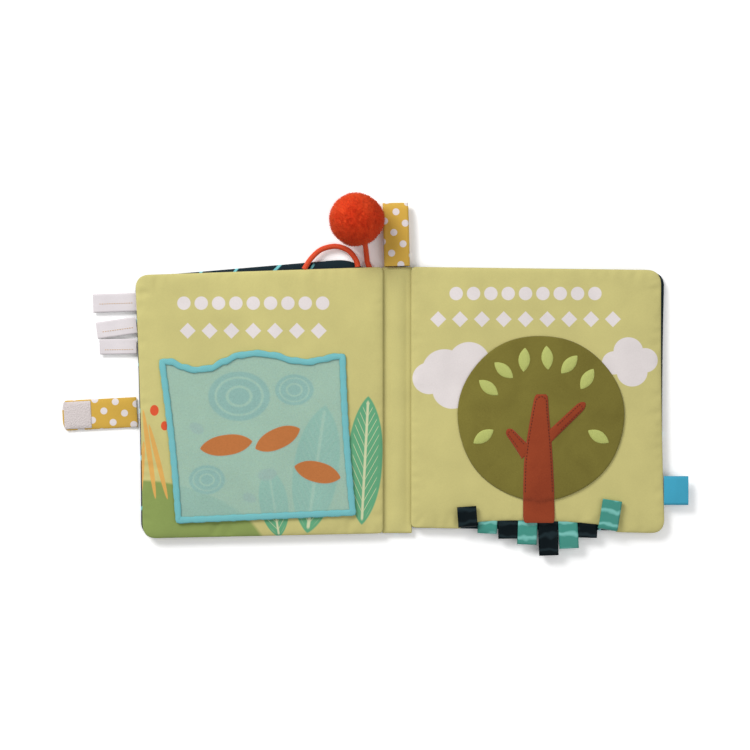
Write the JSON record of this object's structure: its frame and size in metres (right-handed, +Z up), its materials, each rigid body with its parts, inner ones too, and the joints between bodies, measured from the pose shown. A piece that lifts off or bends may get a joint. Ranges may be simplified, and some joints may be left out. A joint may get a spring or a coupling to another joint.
{
  "type": "baby soft book",
  "caption": "Cloth book for a baby, open at its middle spread, with padded leaves that fold, two lift flaps, ribbons and a pompom.",
  "frame": {"origin": "middle of the spine's underside, on the surface that the open book lies on", "axes": "+X across the open book to the reader's right, +Y up the page, +Z up from the surface"},
  "size_m": [0.4907, 0.2878, 0.0401],
  "materials": {
    "navy_cotton": "soft printed cotton",
    "olive_cotton": "soft printed cotton",
    "sheer_aqua": "sheer organza",
    "aqua_thread": "overlocked thread",
    "moss_velour": "short pile velour",
    "rust_velour": "short pile velour",
    "lime_thread": "satin stitch",
    "teal_satin": "satin ribbon",
    "ink_satin": "satin ribbon",
    "white_twill": "woven twill tape",
    "gold_cotton": "printed cotton with white dots",
    "red_plush": "plush pile"
  },
  "bodies": {
    "spine": {"spine_cover": "navy_cotton", "gutter_strip": "olive_cotton", "pompom_cord": "red_plush", "pompom": "red_plush"},
    "left_cover": {"left_cover": "navy_cotton", "white_tab_1": "white_twill", "white_tab_2": "white_twill", "white_tab_3": "white_twill", "cord_arch": "red_plush"},
    "left_page": {"left_page": "olive_cotton"},
    "pond_flap": {"pond_panel": "sheer_aqua", "pond_hem": "aqua_thread"},
    "right_half": {"right_cover": "navy_cotton", "right_page": "olive_cotton", "mating_patch": "white_twill", "side_label": "aqua_thread", "ribbon_loop_1": "ink_satin", "ribbon_loop_2": "teal_satin", "ribbon_loop_3": "ink_satin", "ribbon_loop_4": "teal_satin", "ribbon_loop_5": "ink_satin", "ribbon_loop_6": "teal_satin", "ribbon_loop_7": "ink_satin", "ribbon_loop_8": "teal_satin"},
    "tree_flap": {"tree_crown": "moss_velour", "tree_trunk": "rust_velour", "branch_left": "rust_velour", "branch_right": "rust_velour", "sewn_leaf_1": "lime_thread", "sewn_leaf_2": "lime_thread", "sewn_leaf_3": "lime_thread", "sewn_leaf_4": "lime_thread", "sewn_leaf_5": "lime_thread", "sewn_leaf_6": "lime_thread", "sewn_leaf_7": "lime_thread", "sewn_leaf_8": "lime_thread"},
    "strap": {"closure_strap": "gold_cotton", "strap_patch": "white_twill"},
    "spine_loop": {"spine_loop": "gold_cotton"}
  },
  "joints": [
    {"name": "left_cover_fold", "type": "hinge", "parent": "spine", "child": "left_cover", "pos_m": [-0.0105, 0, 0.0055], "axis": [0, 1, 0], "range_deg": [0, 90]},
    {"name": "right_half_fold", "type": "hinge", "parent": "spine", "child": "right_half", "pos_m": [0.0105, 0, 0.0055], "axis": [0, 1, 0], "range_deg": [-90, 0]},
    {"name": "left_page_turn", "type": "hinge", "parent": "left_cover", "child": "left_page", "pos_m": [-0.0105, 0, 0.0055], "axis": [0, -1, 0], "range_deg": [-85, 0]},
    {"name": "pond_flap_lift", "type": "hinge", "parent": "left_page", "child": "pond_flap", "pos_m": [-0.1105, 0.0405, 0.0116], "axis": [-1, 0, 0], "range_deg": [0, 155]},
    {"name": "tree_flap_lift", "type": "hinge", "parent": "right_half", "child": "tree_flap", "pos_m": [0.1115, 0.0495, 0.0134], "axis": [-1, 0, 0], "range_deg": [0, 160]},
    {"name": "strap_fold", "type": "hinge", "parent": "left_cover", "child": "strap", "pos_m": [-0.2075, -0.0095, 0.0029], "axis": [0, 1, 0], "range_deg": [0, 135]},
    {"name": "spine_loop_swing", "type": "hinge", "parent": "spine", "child": "spine_loop", "pos_m": [0, 0.1048, 0.0085], "axis": [1, 0, 0], "range_deg": [0, 45]}
  ]
}
